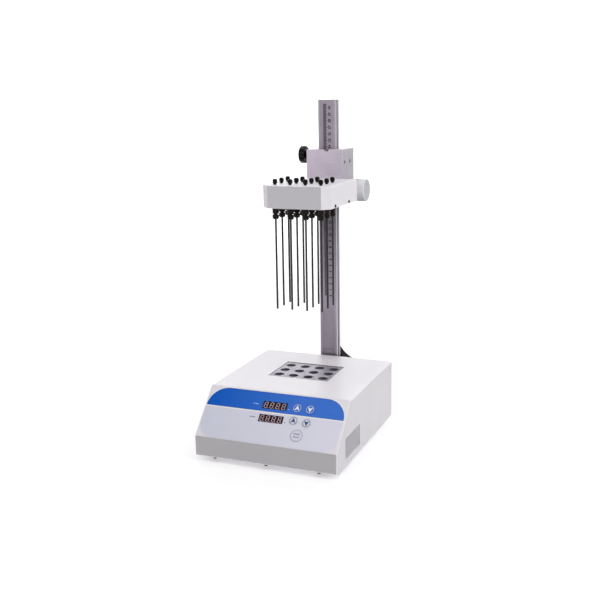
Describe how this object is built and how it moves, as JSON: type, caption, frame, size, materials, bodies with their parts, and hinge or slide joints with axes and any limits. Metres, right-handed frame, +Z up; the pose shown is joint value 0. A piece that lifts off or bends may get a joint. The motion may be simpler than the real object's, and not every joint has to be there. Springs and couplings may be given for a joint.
{
  "type": "nitrogen sample evaporator",
  "caption": "Bench evaporator: a heated block of sample wells in a sloping-front case, under a rack-driven arm that carries a grid of gas needles with a valve on each.",
  "frame": {"origin": "on the bench, under the middle of the whole footprint", "axes": "+X to the right of the control panel, +Y to the back, +Z up"},
  "size_m": [0.22, 0.3131, 0.5096],
  "materials": {
    "white_coat": "fine powder coat",
    "rear_coat": "fine powder coat",
    "zinc_steel": "zinc plated",
    "rubber": "matt",
    "vent_grey": "satin",
    "overlay_film": "printed film, blue band over pale grey",
    "display_black": "dark window",
    "key_blue": "printed",
    "key_pale": "printed",
    "switch_black": "moulded",
    "board_green": "solder mask",
    "standoff_brass": "turned",
    "block_aluminium": "milled, bare",
    "plate_aluminium": "milled, bare",
    "probe_steel": "drawn tube",
    "fibre": "pressed fibre",
    "supply_cage": "pressed cage",
    "inlet_black": "moulded",
    "rocker_black": "moulded",
    "post_aluminium": "clear anodised profile",
    "scale_aluminium": "satin, engraved scale",
    "gear_steel": "cut teeth",
    "bracket_black": "black textured coat",
    "dark_screws": "black oxide",
    "carriage_aluminium": "brushed and anodised",
    "pad_plastic": "acetal",
    "bush_bronze": "sintered bronze",
    "shaft_steel": "ground",
    "knob_aluminium": "bead blasted and clear anodised",
    "lock_black": "moulded",
    "barb_brass": "nickel plated",
    "fitting_black": "moulded",
    "needle_steel": "drawn stainless",
    "valve_black": "moulded"
  },
  "bodies": {
    "base": {"base_shell": "white_coat", "lip_screws": "dark_screws", "bottom_plate": "zinc_steel", "rear_panel": "rear_coat", "rubber_feet": "rubber", "vent_grilles": "vent_grey", "panel_overlay": "overlay_film", "display_modules": "display_black", "key_switches": "switch_black", "control_board": "board_green", "board_standoffs": "standoff_brass", "heater_block": "block_aluminium", "temperature_sensor": "probe_steel", "heating_plate": "plate_aluminium", "block_insulation": "fibre", "power_supply": "supply_cage", "mains_inlet": "inlet_black", "power_switch": "inlet_black", "post": "post_aluminium", "scale_strip": "scale_aluminium", "rack": "gear_steel", "post_bracket": "bracket_black", "bracket_screws": "dark_screws"},
    "rocker": {"power_rocker": "rocker_black"},
    "arm": {"carriage_body": "carriage_aluminium", "carriage_cover": "carriage_aluminium", "carriage_screws": "dark_screws", "guide_pads": "pad_plastic", "shaft_bushes": "bush_bronze", "chamber_cover": "white_coat", "chamber_floor": "plate_aluminium", "chamber_screws": "dark_screws", "manifold_gasket": "rubber", "gas_manifold": "plate_aluminium", "gas_inlet": "barb_brass", "needle_fittings": "fitting_black", "needle_nuts": "fitting_black", "needles": "needle_steel"},
    "lift_drive": {"pinion": "gear_steel", "pinion_shaft": "shaft_steel", "lift_knob": "knob_aluminium"},
    "lock": {"lock_knob": "lock_black", "lock_stud": "shaft_steel"},
    "upper_up_press": {"upper_up_key": "key_blue"},
    "upper_down_press": {"upper_down_key": "key_blue"},
    "lower_up_press": {"lower_up_key": "key_pale"},
    "lower_down_press": {"lower_down_key": "key_pale"},
    "start_press": {"start_key": "key_pale"},
    "valve_01": {"valve_knob_01": "valve_black"},
    "valve_02": {"valve_knob_02": "valve_black"},
    "valve_03": {"valve_knob_03": "valve_black"},
    "valve_04": {"valve_knob_04": "valve_black"},
    "valve_05": {"valve_knob_05": "valve_black"},
    "valve_06": {"valve_knob_06": "valve_black"},
    "valve_07": {"valve_knob_07": "valve_black"},
    "valve_08": {"valve_knob_08": "valve_black"},
    "valve_09": {"valve_knob_09": "valve_black"},
    "valve_10": {"valve_knob_10": "valve_black"},
    "valve_11": {"valve_knob_11": "valve_black"},
    "valve_12": {"valve_knob_12": "valve_black"}
  },
  "joints": [
    {"name": "arm_lift", "type": "slide", "parent": "base", "child": "arm", "axis": [0, 0, 1], "range_m": [-0.15, 0.07]},
    {"name": "lift_knob_spin", "type": "hinge", "parent": "arm", "child": "lift_drive", "pos_m": [0, 0.13845, 0.3675], "axis": [1, 0, 0], "range_deg": [-860, 402]},
    {"name": "lock_knob_spin", "type": "hinge", "parent": "arm", "child": "lock", "pos_m": [-0.0482, 0.12045, 0.424], "axis": [1, 0, 0], "range_deg": [-360, 0]},
    {"name": "power_rocker_tip", "type": "hinge", "parent": "base", "child": "rocker", "pos_m": [-0.072, 0.10445, 0.051], "axis": [1, 0, 0], "range_deg": [-14, 0]},
    {"name": "upper_up_travel", "type": "slide", "parent": "base", "child": "upper_up_press", "axis": [0, 0.7125, -0.7017], "range_m": [0, 0.0005], "stiffness_N_per_m": 900, "springref_m": -0.0003},
    {"name": "upper_down_travel", "type": "slide", "parent": "base", "child": "upper_down_press", "axis": [0, 0.7125, -0.7017], "range_m": [0, 0.0005], "stiffness_N_per_m": 900, "springref_m": -0.0003},
    {"name": "lower_up_travel", "type": "slide", "parent": "base", "child": "lower_up_press", "axis": [0, 0.7125, -0.7017], "range_m": [0, 0.0005], "stiffness_N_per_m": 900, "springref_m": -0.0003},
    {"name": "lower_down_travel", "type": "slide", "parent": "base", "child": "lower_down_press", "axis": [0, 0.7125, -0.7017], "range_m": [0, 0.0005], "stiffness_N_per_m": 900, "springref_m": -0.0003},
    {"name": "start_travel", "type": "slide", "parent": "base", "child": "start_press", "axis": [0, 0.7125, -0.7017], "range_m": [0, 0.0005], "stiffness_N_per_m": 900, "springref_m": -0.0003},
    {"name": "valve_01_turn", "type": "hinge", "parent": "arm", "child": "valve_01", "pos_m": [-0.03615, -0.01345, 0.3879], "axis": [0, 0, 1], "range_deg": [0, 1080]},
    {"name": "valve_02_turn", "type": "hinge", "parent": "arm", "child": "valve_02", "pos_m": [-0.01205, -0.01345, 0.3879], "axis": [0, 0, 1], "range_deg": [0, 1080]},
    {"name": "valve_03_turn", "type": "hinge", "parent": "arm", "child": "valve_03", "pos_m": [0.01205, -0.01345, 0.3879], "axis": [0, 0, 1], "range_deg": [0, 1080]},
    {"name": "valve_04_turn", "type": "hinge", "parent": "arm", "child": "valve_04", "pos_m": [0.03615, -0.01345, 0.3879], "axis": [0, 0, 1], "range_deg": [0, 1080]},
    {"name": "valve_05_turn", "type": "hinge", "parent": "arm", "child": "valve_05", "pos_m": [-0.03615, 0.01115, 0.3879], "axis": [0, 0, 1], "range_deg": [0, 1080]},
    {"name": "valve_06_turn", "type": "hinge", "parent": "arm", "child": "valve_06", "pos_m": [-0.01205, 0.01115, 0.3879], "axis": [0, 0, 1], "range_deg": [0, 1080]},
    {"name": "valve_07_turn", "type": "hinge", "parent": "arm", "child": "valve_07", "pos_m": [0.01205, 0.01115, 0.3879], "axis": [0, 0, 1], "range_deg": [0, 1080]},
    {"name": "valve_08_turn", "type": "hinge", "parent": "arm", "child": "valve_08", "pos_m": [0.03615, 0.01115, 0.3879], "axis": [0, 0, 1], "range_deg": [0, 1080]},
    {"name": "valve_09_turn", "type": "hinge", "parent": "arm", "child": "valve_09", "pos_m": [-0.03615, 0.03575, 0.3879], "axis": [0, 0, 1], "range_deg": [0, 1080]},
    {"name": "valve_10_turn", "type": "hinge", "parent": "arm", "child": "valve_10", "pos_m": [-0.01205, 0.03575, 0.3879], "axis": [0, 0, 1], "range_deg": [0, 1080]},
    {"name": "valve_11_turn", "type": "hinge", "parent": "arm", "child": "valve_11", "pos_m": [0.01205, 0.03575, 0.3879], "axis": [0, 0, 1], "range_deg": [0, 1080]},
    {"name": "valve_12_turn", "type": "hinge", "parent": "arm", "child": "valve_12", "pos_m": [0.03615, 0.03575, 0.3879], "axis": [0, 0, 1], "range_deg": [0, 1080]}
  ],
  "couplings": [
    {"joint": "lift_knob_spin", "follows": "arm_lift", "rad_per_m": 100}
  ]
}
